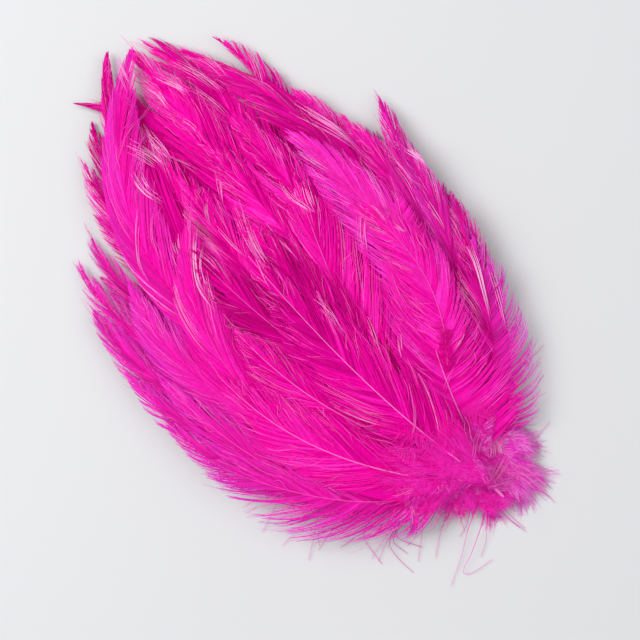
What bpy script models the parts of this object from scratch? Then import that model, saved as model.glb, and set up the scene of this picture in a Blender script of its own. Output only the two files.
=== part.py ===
# Hackle feather pad: dyed cockerel hackles in overlapping courses on a felt teardrop, lying on its felt.
# Frame: +Z up, +Y from the quill end towards the feather tips, origin at the pad's middle, on the plane
# of the felt's underside.
# Run it from Blender's text editor, or with: blender --background --python part.py

import math
from collections import namedtuple

import bmesh
import bpy
import numpy as np

MM = 0.001

# Driving dimensions, in millimetres until a mesh is made.
FELT_LENGTH = 104.0
FELT_WIDTH = 50.0
FELT_THICKNESS = 1.5
FELT_MIDDLE = (2.0, -27.0)
FELT_LEAN = 0.1
FELT_POINTEDNESS = 0.32
FELT_POINTS = 32

VANE_THICKNESS = 0.3
QUILL_THICKNESS = 0.95
SHAFT_TIP_THICKNESS = 0.4
QUILL_HALF_WIDTH = 0.8
TIP_HALF_WIDTH = 0.5

# Shares of a hackle's length: its bare quill, the stretch over which its vanes swell, and where they taper.
BARE_SHARE = 0.03
SWELL_SHARE = 0.22
TAPER_SHARE = 0.5

# Where the cross rows of a feather's grid lie, as shares of its length, and the five lines along it.
HACKLE_ROWS = (0.0, 0.07, 0.18, 0.31, 0.45, 0.58, 0.71, 0.83, 0.93, 1.0)
UNDER_ROWS = (0.0, 0.1, 0.27, 0.44, 0.6, 0.75, 0.89, 1.0)
DOWN_ROWS = (0.0, 0.14, 0.32, 0.5, 0.68, 0.86, 1.0)
LINES = (-1.0, -0.5, 0.0, 0.5, 1.0)
BARB_LEAN = 0.075
LOCK_DEPTH = 0.12

# How the feathers are laid on each other.
CELL = 0.5
AIR_GAP = 0.3
CELL_SLACK = 0.15
MAP_HALF_X = 70.0
MAP_HALF_Y = 105.0
SETTLING_STEPS = 90
SINK_PER_STEP = 0.22
LIFT_STEPS = 400

# A feather's shaft runs from its root through middle to its tip, seen from above. Width is across both vanes,
# and lift is how far the tip stands above where it would lie.
Feather = namedtuple("Feather", "name root middle tip width lift")

# The first course, hidden under the rest, is a fan that gives the pad its body.
UNDER_COUNT = 11
UNDER_FAN_DEGREES = 104.0
UNDER_ROOT = (3.0, -34.0)
UNDER_ROOT_SPREAD = 16.0
UNDER_ROOT_DROP = 6.0
UNDER_REACH_MIDDLE = 114.0
UNDER_REACH_SIDE = 62.0
UNDER_NARROWING = 0.86
UNDER_SHIFT = -3.0
UNDER_WIDTH = 22.0
UNDER_BOW = 4.0

# The courses that show, in the order in which they are laid.
CROWN = (
    Feather("crown_left_spike", (6, 6), (3, 53), (-13.5, 83.5), 12, 1.0),
    Feather("crown_right", (9, 4), (19, 46), (13, 84), 17, 0.5),
    Feather("crown_inner_left", (-10, 2), (-19, 43), (-13, 76), 14, 0.5),
    Feather("crown_outer_left", (-12, -6), (-24.5, 33), (-21.5, 69), 12, 0.3),
    Feather("crown_left_middle", (-4, 0), (-8, 42), (-5, 75), 16, 0.3),
    Feather("crown_curl", (18, -6), (30.5, 40), (29, 72), 10, 2.5),
    Feather("crown_middle", (4, 0), (8, 43), (8.5, 85), 18, 0.5),
)
SHOULDERS = (
    Feather("shoulder_left_back", (-14, -16), (-33, 18), (-33.5, 52), 12, 0.5),
    Feather("shoulder_left_middle", (-13, -24), (-38, 10), (-41.5, 47), 12, 0.5),
    Feather("shoulder_left_front", (-14, -32), (-41, -2), (-46, 35.5), 13, 0.3),
    Feather("shoulder_right_back", (20, -16), (35, 15), (36, 48), 14, 0.5),
    Feather("shoulder_right_edge", (20, -30), (39, -3), (42, 32), 13, 0.3),
    Feather("shoulder_right_tip", (22, -38), (41, -5), (53.5, 29.5), 10, 1.5),
    Feather("sweep_right", (25, -8), (33.5, 31), (19, 76), 13, 1.0),
    Feather("sweep_left_inner", (-13, 2), (-13, 54), (3.5, 88.5), 13, 1.5),
    Feather("sweep_left_outer", (-19, -8), (-23, 43), (9.5, 84.5), 17, 1.0),
)
FLANKS = (
    Feather("middle_high", (8, -30), (9, 15), (8, 54), 15, 0.3),
    Feather("middle_left_high", (-4, -28), (-6, 12), (-3, 48), 17, 0.3),
    Feather("middle_right_high", (14, -26), (18, 14), (18, 52), 15, 0.3),
    Feather("flank_left_tip", (-8, -44), (-40, -17), (-50, 16), 12, 0.3),
    Feather("flank_right_back", (21, -44), (41, -17), (50, 18), 11, 0.8),
    Feather("flank_left_low", (-6, -52), (-38, -31), (-50, -1), 13, 0.3),
    Feather("flank_right_low", (18, -52), (39, -31), (51.5, -4), 12, 0.5),
    Feather("inner_left_back", (-10, -42), (-34, -4), (-33, 34), 16, 0.3),
    Feather("inner_right_front", (20, -44), (31, -3), (27.5, 38), 17, 0.5),
    Feather("satin_left", (-8, -48), (-27.5, -5), (-8, 37.5), 17, 2.0),
    Feather("inner_middle", (2, -40), (-9, -6), (-14, 30), 18, 0.3),
    Feather("inner_right_long", (4, -46), (8, -12), (21, 27), 23, 0.5),
    Feather("inner_centre", (4, -44), (3, -8), (2, 27), 18, 0.3),
)
FRONT = (
    Feather("edge_left_upper", (1, -64), (-30.5, -41), (-43.5, 8), 17, 0.3),
    Feather("edge_left_lower", (3, -68), (-25, -52), (-49, -17), 21, 0.3),
    Feather("edge_right", (13, -65), (33.5, -44.5), (48, -13), 20, 0.5),
    Feather("front_right", (11, -70), (19, -38), (40, 6), 25, 0.3),
    Feather("front_left_inner", (5, -60), (-12.5, -29), (-19, 6), 18, 0.3),
    Feather("front_left", (6, -71), (-20.5, -38), (-30.5, -2), 21, 0.3),
    Feather("front_middle", (9, -75), (0, -32), (-3, 20), 23, 0.3),
    Feather("front_short", (20, -40), (31, -17), (29.5, 10), 16, 0.5),
)
# Short downy feathers that cover the quill end, most of them lying backwards.
DOWN = (
    Feather("down_back_right", (10, -64), (14.5, -74), (17, -86), 13, 0.3),
    Feather("down_back", (6, -64), (6, -73), (7, -83), 12, 0.3),
    Feather("down_right", (12, -60), (18, -67), (21, -77), 11, 0.5),
    Feather("down_back_left", (3, -63), (-2, -71), (-6, -80), 11, 0.3),
    Feather("down_left", (-1, -60), (-12, -64), (-23, -68), 10, 0.3),
)

HACKLE_PINK = (0.80, 0.012, 0.36)
DOWN_PINK = (0.72, 0.05, 0.46)
FELT_PINK = (0.62, 0.01, 0.26)


def clear_scene():
    for obj in list(bpy.data.objects):
        bpy.data.objects.remove(obj, do_unlink=True)


def make_material(name, colour, roughness):
    material = bpy.data.materials.new(name)
    material.use_nodes = True
    shader = material.node_tree.nodes["Principled BSDF"]
    shader.inputs["Base Color"].default_value = (*colour, 1.0)
    shader.inputs["Roughness"].default_value = roughness
    shader.inputs["Metallic"].default_value = 0.0
    return material


def make_felt(collection, material):
    """The backing: a flat teardrop, pointed at the quill end, as a filled and extruded 2D curve."""
    curve = bpy.data.curves.new("felt_backing", "CURVE")
    curve.dimensions = "2D"
    curve.fill_mode = "BOTH"
    curve.extrude = FELT_THICKNESS / 2 * MM
    spline = curve.splines.new("POLY")
    spline.points.add(FELT_POINTS - 1)
    spline.use_cyclic_u = True
    for point, (x, y) in zip(spline.points, felt_outline()):
        point.co = (x * MM, y * MM, 0.0, 1.0)
    felt = bpy.data.objects.new("felt_backing", curve)
    felt.location.z = FELT_THICKNESS / 2 * MM
    curve.materials.append(material)
    collection.objects.link(felt)


def felt_outline():
    """Points round the teardrop: an ellipse whose width shrinks towards the quill end."""
    outline = []
    for step in range(FELT_POINTS):
        angle = 2 * math.pi * step / FELT_POINTS
        widening = 1 + FELT_POINTEDNESS * math.sin(angle)
        x = FELT_WIDTH / 2 * math.cos(angle) * widening
        y = FELT_MIDDLE[1] + FELT_LENGTH / 2 * math.sin(angle)
        outline.append((x + felt_middle_x(y), y))
    return outline


def felt_middle_x(y):
    """The felt leans, so that its quill end lies a little to the right."""
    return FELT_MIDDLE[0] - FELT_LEAN * (y - FELT_MIDDLE[1])


def under_course():
    """The hidden fan: its roots lie across the felt and its tips on an oval inside the pad's outline."""
    feathers = []
    for i in range(UNDER_COUNT):
        share = 2 * i / (UNDER_COUNT - 1) - 1
        angle = math.radians(share * UNDER_FAN_DEGREES / 2)
        reach = UNDER_REACH_MIDDLE + (UNDER_REACH_SIDE - UNDER_REACH_MIDDLE) * abs(math.sin(angle))
        root = (UNDER_ROOT[0] + share * UNDER_ROOT_SPREAD, UNDER_ROOT[1] - UNDER_ROOT_DROP * abs(share))
        tip = (UNDER_ROOT[0] + UNDER_SHIFT + reach * math.sin(angle) * UNDER_NARROWING,
               UNDER_ROOT[1] + reach * math.cos(angle))
        middle = ((root[0] + tip[0]) / 2 + UNDER_BOW * share, (root[1] + tip[1]) / 2)
        feathers.append(Feather(f"under_{i + 1:02d}", root, middle, tip, UNDER_WIDTH, 0.0))
    # Laid from both sides towards the middle, as a hand lays a fan.
    return sorted(feathers, key=lambda feather: -abs(feather.tip[0]))


def shaft_point(feather, share):
    """A point and the forward direction on the shaft's curve, a parabola through root, middle and tip."""
    root, middle, tip = (np.array(p, float) for p in (feather.root, feather.middle, feather.tip))
    control = 2 * middle - (root + tip) / 2
    here = (1 - share) ** 2 * root + 2 * share * (1 - share) * control + share ** 2 * tip
    forward = 2 * (1 - share) * (control - root) + 2 * share * (tip - control)
    return here, forward / np.linalg.norm(forward)


def hackle_half_width(feather, share):
    """Bare quill, then a downy base that swells to full width before the middle and tapers to a point."""
    swell = min(1.0, max(0.0, (share - BARE_SHARE) / SWELL_SHARE))
    past = max(0.0, (share - TAPER_SHARE) / (1 - TAPER_SHARE))
    full = feather.width / 2 * swell ** 0.6 * (1 - past ** 2) ** 0.85
    edge = QUILL_HALF_WIDTH + (TIP_HALF_WIDTH - QUILL_HALF_WIDTH) * share
    return max(edge, full)


def down_half_width(feather, share):
    """A short fluffy feather, widest near its end."""
    full = feather.width / 2 * max(0.0, math.sin(math.pi * (0.08 + 0.92 * share) ** 0.9)) ** 0.6
    return max(TIP_HALF_WIDTH, full)


def plan_grid(feather, rows, half_width):
    """Where the grid's points lie seen from above. Cross rows lean forward like barbs, and every other one
    ends short, so that the vane's edge is notched into locks."""
    plan = np.zeros((len(rows), len(LINES), 2))
    for i, share in enumerate(rows):
        notch = 1 - LOCK_DEPTH * (i % 2)
        for j, line in enumerate(LINES):
            lean = BARB_LEAN * abs(line) * math.sin(math.pi * share) ** 0.5 * (1 - share)
            here, forward = shaft_point(feather, share + lean)
            right = np.array([forward[1], -forward[0]])
            reach = half_width(feather, share) * (notch if abs(line) == 1.0 else 1.0)
            plan[i, j] = here + right * line * reach
    return plan


def thickness_grid(rows):
    """Solid thickness at the grid's points: the shaft stands proud of the thin vanes."""
    thick = np.full((len(rows), len(LINES)), VANE_THICKNESS)
    for i, share in enumerate(rows):
        thick[i, len(LINES) // 2] = QUILL_THICKNESS + (SHAFT_TIP_THICKNESS - QUILL_THICKNESS) * share ** 0.7
    return thick


def cells_under(a, b, c):
    """The map cells that a triangle covers, a cell's width beyond its edges too, and their shares of its
    corners."""
    corners = np.array([a, b, c])
    low = np.floor((corners.min(0) + (MAP_HALF_X, MAP_HALF_Y)) / CELL).astype(int) - 1
    high = np.ceil((corners.max(0) + (MAP_HALF_X, MAP_HALF_Y)) / CELL).astype(int) + 1
    i, j = np.meshgrid(np.arange(low[0], high[0] + 1), np.arange(low[1], high[1] + 1), indexing="ij")
    x = (i + 0.5) * CELL - MAP_HALF_X
    y = (j + 0.5) * CELL - MAP_HALF_Y
    area = (b[0] - a[0]) * (c[1] - a[1]) - (c[0] - a[0]) * (b[1] - a[1])
    if abs(area) < 1e-6:
        return np.zeros((0, 2), int), np.zeros((0, 3))
    share_b = ((x - a[0]) * (c[1] - a[1]) - (c[0] - a[0]) * (y - a[1])) / area
    share_c = ((b[0] - a[0]) * (y - a[1]) - (x - a[0]) * (b[1] - a[1])) / area
    share_a = 1 - share_b - share_c
    # A share falls from 1 at its corner to 0 over that corner's height, so a margin in mm becomes a share.
    sides = [np.linalg.norm(c - b), np.linalg.norm(a - c), np.linalg.norm(b - a)]
    margins = [CELL * side / abs(area) for side in sides]
    inside = (share_a > -margins[0]) & (share_b > -margins[1]) & (share_c > -margins[2])
    cells = np.stack([i[inside], j[inside]], 1)
    shares = np.clip(np.stack([share_a[inside], share_b[inside], share_c[inside]], 1), 0, 1)
    return cells, shares / shares.sum(1)[:, None]


def footprint(plan):
    """Every cell under a feather's grid with the three grid points that carry it. Both ways to split each
    quad are taken, so that either one clears what lies below."""
    count = len(LINES)
    cells, carriers, shares = [], [], []
    for i in range(plan.shape[0] - 1):
        for j in range(count - 1):
            quad = [i * count + j, i * count + j + 1, (i + 1) * count + j + 1, (i + 1) * count + j]
            for skipped in range(4):
                three = [quad[k] for k in range(4) if k != skipped]
                found, share = cells_under(*[plan.reshape(-1, 2)[k] for k in three])
                cells.append(found)
                carriers.append(np.tile(three, (len(found), 1)))
                shares.append(share)
    return np.concatenate(cells), np.concatenate(carriers), np.concatenate(shares)


def raise_clear(heights, carriers, shares, needed, passes):
    """Lifts grid points until the surface they carry is nowhere lower than needed."""
    for _ in range(passes):
        short = needed - (heights[carriers] * shares).sum(1)
        low = short > 1e-4
        if not low.any():
            break
        lift = short[low, None] * shares[low] / (shares[low] ** 2).sum(1)[:, None]
        step = np.zeros_like(heights)
        np.maximum.at(step, carriers[low].ravel(), lift.ravel())
        heights += step
    return heights


def stiffen(grid):
    """Evens out the shaft's bend along its length, and keeps each vane nearly straight across."""
    middle = len(LINES) // 2
    smooth = grid.copy()
    smooth[1:-1] = 0.5 * grid[1:-1] + 0.25 * (grid[:-2] + grid[2:])
    smooth[0] = 0.7 * grid[0] + 0.3 * (2 * grid[1] - grid[2])
    smooth[-1] = 0.7 * grid[-1] + 0.3 * (2 * grid[-2] - grid[-3])
    for edge, half in ((0, 1), (len(LINES) - 1, len(LINES) - 2)):
        mean = 0.5 * (smooth[:, middle] + smooth[:, edge])
        smooth[:, half] += 0.5 * (mean - smooth[:, half])
        smooth[:, edge] += 0.25 * (smooth[:, middle] - smooth[:, edge])
    return smooth


def settle(feather, rows, plan, pile):
    """Lays a feather on the pile, stiff enough to bridge small hollows, and adds it to the pile. Returns the
    heights of its grid."""
    cells, carriers, shares = footprint(plan)
    half_thick = thickness_grid(rows).ravel() / 2
    half_here = (half_thick[carriers] * shares).sum(1)
    needed = pile[cells[:, 0], cells[:, 1]] + AIR_GAP + CELL_SLACK + half_here
    heights = np.full(plan.shape[0] * plan.shape[1], needed.max())
    for step in range(SETTLING_STEPS):
        heights -= SINK_PER_STEP * (1 - step / SETTLING_STEPS) + 0.02
        heights = stiffen(heights.reshape(plan.shape[:2])).ravel()
        heights = raise_clear(heights, carriers, shares, needed, 4)
    curl = np.array([max(0.0, (share - 0.55) / 0.45) ** 2 for share in rows])
    heights += feather.lift * np.repeat(curl, len(LINES))
    heights = raise_clear(heights, carriers, shares, needed, LIFT_STEPS)
    top = (heights[carriers] * shares).sum(1) + half_here
    np.maximum.at(pile, (cells[:, 0], cells[:, 1]), top)
    return heights.reshape(plan.shape[:2])


def felt_pile():
    """The height map before the first feather: the bare surface, and the felt standing on it."""
    across, along = int(2 * MAP_HALF_X / CELL), int(2 * MAP_HALF_Y / CELL)
    pile = np.zeros((across, along))
    y = (np.arange(along) + 0.5) * CELL - MAP_HALF_Y
    x = (np.arange(across) + 0.5) * CELL - MAP_HALF_X
    reach = (y - FELT_MIDDLE[1]) / (FELT_LENGTH / 2 + 2 * CELL)
    half = FELT_WIDTH / 2 * np.sqrt(np.maximum(0, 1 - reach ** 2)) * (1 + FELT_POINTEDNESS * reach) + 2 * CELL
    on_felt = (abs(x[:, None] - felt_middle_x(y)[None, :]) < half[None, :]) & (abs(reach)[None, :] < 1)
    pile[on_felt] = FELT_THICKNESS
    return pile


def make_feather(feather, rows, half_width, pile, collection, material):
    """One feather: an open grid bent to its settled shape, made thick by Solidify, most at its shaft."""
    plan = plan_grid(feather, rows, half_width)
    heights = settle(feather, rows, plan, pile)
    thick = thickness_grid(rows)
    mesh = bpy.data.meshes.new(feather.name)
    grid = bmesh.new()
    bmesh.ops.create_grid(grid, x_segments=len(LINES) - 1, y_segments=len(rows) - 1, size=1.0)
    weights = {}
    for vertex in grid.verts:
        j = round((vertex.co.x + 1) / 2 * (len(LINES) - 1))
        i = round((vertex.co.y + 1) / 2 * (len(rows) - 1))
        vertex.co = (plan[i, j, 0] * MM, plan[i, j, 1] * MM, heights[i, j] * MM)
        weights[vertex.index] = thick[i, j] / QUILL_THICKNESS
    grid.to_mesh(mesh)
    grid.free()
    mesh.materials.append(material)
    obj = bpy.data.objects.new(feather.name, mesh)
    collection.objects.link(obj)
    proud = obj.vertex_groups.new(name="proud")
    for index, weight in weights.items():
        proud.add([index], weight, "REPLACE")
    solidify = obj.modifiers.new("thickness", "SOLIDIFY")
    solidify.thickness = QUILL_THICKNESS * MM
    solidify.offset = 0.0
    solidify.vertex_group = "proud"
    solidify.thickness_vertex_group = 0.0
    mesh.shade_smooth()


def main():
    clear_scene()
    collection = bpy.data.collections.new("hackle_feather_pad")
    bpy.context.scene.collection.children.link(collection)
    hackle = make_material("dyed_hackle", HACKLE_PINK, 0.45)
    down = make_material("dyed_down", DOWN_PINK, 0.85)
    felt = make_material("felt", FELT_PINK, 0.95)

    make_felt(collection, felt)
    pile = felt_pile()
    for feather in under_course():
        make_feather(feather, UNDER_ROWS, hackle_half_width, pile, collection, hackle)
    for feather in CROWN + SHOULDERS + FLANKS:
        make_feather(feather, HACKLE_ROWS, hackle_half_width, pile, collection, hackle)
    for feather in DOWN:
        make_feather(feather, DOWN_ROWS, down_half_width, pile, collection, down)
    for feather in FRONT:
        make_feather(feather, HACKLE_ROWS, hackle_half_width, pile, collection, hackle)


main()
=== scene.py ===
import math

import bpy
import numpy as np
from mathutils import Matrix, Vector
from mathutils.bvhtree import BVHTree


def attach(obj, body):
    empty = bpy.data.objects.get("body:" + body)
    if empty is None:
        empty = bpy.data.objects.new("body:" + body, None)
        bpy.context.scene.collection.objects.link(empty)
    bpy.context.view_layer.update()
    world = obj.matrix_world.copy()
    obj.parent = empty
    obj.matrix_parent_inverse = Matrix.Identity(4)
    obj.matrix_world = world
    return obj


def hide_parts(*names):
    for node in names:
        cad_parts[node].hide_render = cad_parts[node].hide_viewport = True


# Looks of a hot pink hackle feather pad. Plan places are in mm, X across the pad and Y towards its tips
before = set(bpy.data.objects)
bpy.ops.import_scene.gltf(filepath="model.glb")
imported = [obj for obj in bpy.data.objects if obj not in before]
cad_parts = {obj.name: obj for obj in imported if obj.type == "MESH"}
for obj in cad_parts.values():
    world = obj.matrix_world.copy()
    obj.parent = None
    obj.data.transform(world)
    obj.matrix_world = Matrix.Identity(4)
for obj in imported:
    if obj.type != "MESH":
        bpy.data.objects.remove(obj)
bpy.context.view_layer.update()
mm = 0.001
print("frame loaded:", len(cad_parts), "nodes")


# Camera, straight above the pad, turned so that its tips point to the upper left
cameraSetup = {
    "aim": (0.9, -7.9, 8.0),
    "height": 600.0,
    "turnDegrees": -39.83,
    "frameWidth": 178.3,
    "sensorWidth": 36.0,
}


def addObject(name, data):
    thing = bpy.data.objects.new(name, data)
    bpy.context.scene.collection.objects.link(thing)
    return thing


def makeCamera():
    aimX, aimY, aimZ = cameraSetup["aim"]
    data = bpy.data.cameras.new("camera")
    data.sensor_width = cameraSetup["sensorWidth"]
    data.lens = cameraSetup["sensorWidth"] * cameraSetup["height"] / cameraSetup["frameWidth"]
    data.clip_start = 0.01
    camera = addObject("camera", data)
    camera.location = (aimX * mm, aimY * mm, (aimZ + cameraSetup["height"]) * mm)
    camera.rotation_euler = (0, 0, math.radians(cameraSetup["turnDegrees"]))
    bpy.context.scene.camera = camera


makeCamera()


# Node helpers for the materials
def newMaterial(name):
    material = bpy.data.materials.new(name)
    material.use_nodes = True
    return material, material.node_tree, material.node_tree.nodes["Principled BSDF"]


def addNode(tree, kind, **settings):
    node = tree.nodes.new(kind)
    for key, value in settings.items():
        setattr(node, key, value)
    return node


# An input takes what another node puts out, a colour or a number
def setInputs(tree, node, values):
    for key, value in values.items():
        if hasattr(value, "is_linked"):
            tree.links.new(value, node.inputs[key])
        elif hasattr(value, "__len__"):
            node.inputs[key].default_value = (*value, 1.0)
        else:
            node.inputs[key].default_value = value


def mixColours(tree, factor, first, second):
    node = addNode(tree, "ShaderNodeMix", data_type="RGBA")
    setInputs(tree, node, {0: factor, 6: first, 7: second})
    return node.outputs[2]


def mapRange(tree, value, low, high, toLow, toHigh):
    node = addNode(tree, "ShaderNodeMapRange")
    setInputs(tree, node, {"Value": value, "From Min": low, "From Max": high})
    setInputs(tree, node, {"To Min": toLow, "To Max": toHigh})
    return node.outputs["Result"]


def noise(tree, coords, scale, detail=3.0):
    node = addNode(tree, "ShaderNodeTexNoise")
    setInputs(tree, node, {"Vector": coords, "Scale": scale, "Detail": detail})
    return node.outputs["Fac"]


def addBump(tree, shader, height, strength, distance):
    node = addNode(tree, "ShaderNodeBump")
    setInputs(tree, node, {"Height": height, "Strength": strength, "Distance": distance})
    setInputs(tree, shader, {"Normal": node.outputs["Normal"]})


# Dye colours, partly painted light: pale is both a strand's own pale colour and a painted highlight where
# barbs shine, and deep both dark dye and painted shade in the grooves between clumps. Each strand carries its
# shade in red, how pale it is in green and how violet in blue
dyeAndPaintedLight = {
    "deep": (0.48, 0.0, 0.16),
    "body": (0.92, 0.001, 0.41),
    "bright": (1.0, 0.05, 0.68),
    "pale": (1.0, 0.64, 0.9),
    "violet": (0.72, 0.06, 0.68),
}
feltColours = {"dark": (0.40, 0.002, 0.17), "light": (0.80, 0.02, 0.38), "blotch": (0.55, 0.008, 0.25)}

# The dye is uneven: how fine its clouds and streaks are, how much of the shade they take, and how fine and
# deep the bumps in a strand are
dyeSpread = {
    "clouds": 45.0, "cloudy": 0.4, "streaks": 900.0, "streaky": 0.3, "bumps": 4000.0, "bumpDepth": 0.00005,
}


def strandMaterial(name, roughness, see, sheen):
    material, tree, shader = newMaterial(name)
    strand = addNode(tree, "ShaderNodeAttribute", attribute_name="strand")
    parts = addNode(tree, "ShaderNodeSeparateColor")
    setInputs(tree, parts, {"Color": strand.outputs["Color"]})
    place = addNode(tree, "ShaderNodeTexCoord").outputs["Object"]

    # Broad clouds over the pad and fine streaks in each strand
    clouds, grain = noise(tree, place, dyeSpread["clouds"]), noise(tree, place, dyeSpread["streaks"], 2.0)
    shade = addNode(tree, "ShaderNodeMath", operation="MULTIPLY_ADD")
    setInputs(tree, shade, {0: clouds, 1: dyeSpread["cloudy"], 2: parts.outputs["Red"]})
    ramp = addNode(tree, "ShaderNodeValToRGB")
    setInputs(tree, ramp, {"Fac": mapRange(tree, shade.outputs[0], 0.2, 1.2, 0.0, 1.0)})
    stops = ramp.color_ramp.elements
    stops[0].color = (*dyeAndPaintedLight["deep"], 1)
    stops[1].color = (*dyeAndPaintedLight["bright"], 1)
    middle = stops.new(0.5)
    middle.color = (*dyeAndPaintedLight["body"], 1)
    streaks = mapRange(tree, grain, 0.4, 0.8, 0.0, dyeSpread["streaky"])
    colour = mixColours(tree, streaks, ramp.outputs["Color"], dyeAndPaintedLight["deep"])
    colour = mixColours(tree, parts.outputs["Blue"], colour, dyeAndPaintedLight["violet"])
    # pale is the strand's own pale colour, and a painted highlight where barbs shine
    colour = mixColours(tree, parts.outputs["Green"], colour, dyeAndPaintedLight["pale"])
    setInputs(tree, shader, {
        "Base Color": colour,
        "Roughness": mapRange(tree, grain, 0.3, 0.7, roughness - 0.08, roughness + 0.12),
        "Specular IOR Level": 0.04,
        "Specular Tint": (1.0, 0.3, 0.7),
        "Sheen Weight": sheen,
        "Sheen Roughness": 0.4,
        "Sheen Tint": (1.0, 0.2, 0.6),
    })
    addBump(tree, shader, noise(tree, place, dyeSpread["bumps"], 2.0), 0.25, dyeSpread["bumpDepth"])

    # Thin keratin lets some light through
    through = addNode(tree, "ShaderNodeBsdfTranslucent")
    setInputs(tree, through, {"Color": colour})
    mixed = addNode(tree, "ShaderNodeMixShader")
    setInputs(tree, mixed, {"Fac": see, 1: shader.outputs["BSDF"], 2: through.outputs["BSDF"]})
    setInputs(tree, tree.nodes["Material Output"], {"Surface": mixed.outputs["Shader"]})
    return material


def feltMaterial():
    material, tree, shader = newMaterial("felt")
    place = addNode(tree, "ShaderNodeTexCoord").outputs["Object"]
    fibres, blotches = noise(tree, place, 1500.0, 6.0), noise(tree, place, 120.0)
    fibrous = mapRange(tree, fibres, 0.3, 0.7, 0, 1)
    colour = mixColours(tree, fibrous, feltColours["dark"], feltColours["light"])
    colour = mixColours(tree, mapRange(tree, blotches, 0.4, 0.7, 0, 0.4), colour, feltColours["blotch"])
    roughness = mapRange(tree, blotches, 0.3, 0.7, 0.85, 1.0)
    setInputs(tree, shader, {"Base Color": colour, "Roughness": roughness, "Sheen Weight": 0.5})
    addBump(tree, shader, fibres, 0.8, 0.0002)
    return material


materials = {
    "hackle": strandMaterial("hackle_barbs", 0.45, 0.30, 0.0),
    "down": strandMaterial("down_barbs", 0.65, 0.30, 0.1),
    "felt": feltMaterial(),
}
print("materials made")


# A plain hackle. The last five are for its left and right vane
plainHackle = {
    "shade": 0.5,  # its dye, from dark to light
    "violet": 0.03,  # how far its barb ends turn violet, for both vanes or for each
    "shaft": 0.0,  # how light its shaft shows
    "loose": 1.0,  # how far its locks part
    # pale and glints pick barbs that are painted pale as highlights
    "pale": 0.07,  # the share of its clumps that shine
    "glints": (),  # the side and the stretch of shaft whose barbs shine
    "tip": "point",  # how its vanes narrow: spike, knife, point, blade or brush
    "fluff": 0,  # its count of downy wisps
    "fluffStyle": {},  # what sets them apart
    "hair": 0.15,  # how thick its barb ends are
    "seen": 0.0,  # the share of its shaft from which it isn't covered
    "hairs": 1.0,  # how many barbs lie loose on it
    "fray": 0.15,  # the share of its barbs that end early
    "gather": (0.05, 0.65),  # how far the barbs of a clump close into one strand at their ends
    "bare": 0.0,  # the stretch of shaft below its barbs
    "web": 0.5,  # the least share of a vane that is closed
    "open": (0.3, 0.3),  # how much of a barb's length stands apart as a hair
    "lean": (1, 1),  # how far its barbs lean forward
    "reach": (1, 1),  # how far they reach aside
    "flare": (0, 0),  # how much further they reach near the quill
    "sweep": (0.15, 0.15),  # how much of their lean comes late
}

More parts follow.
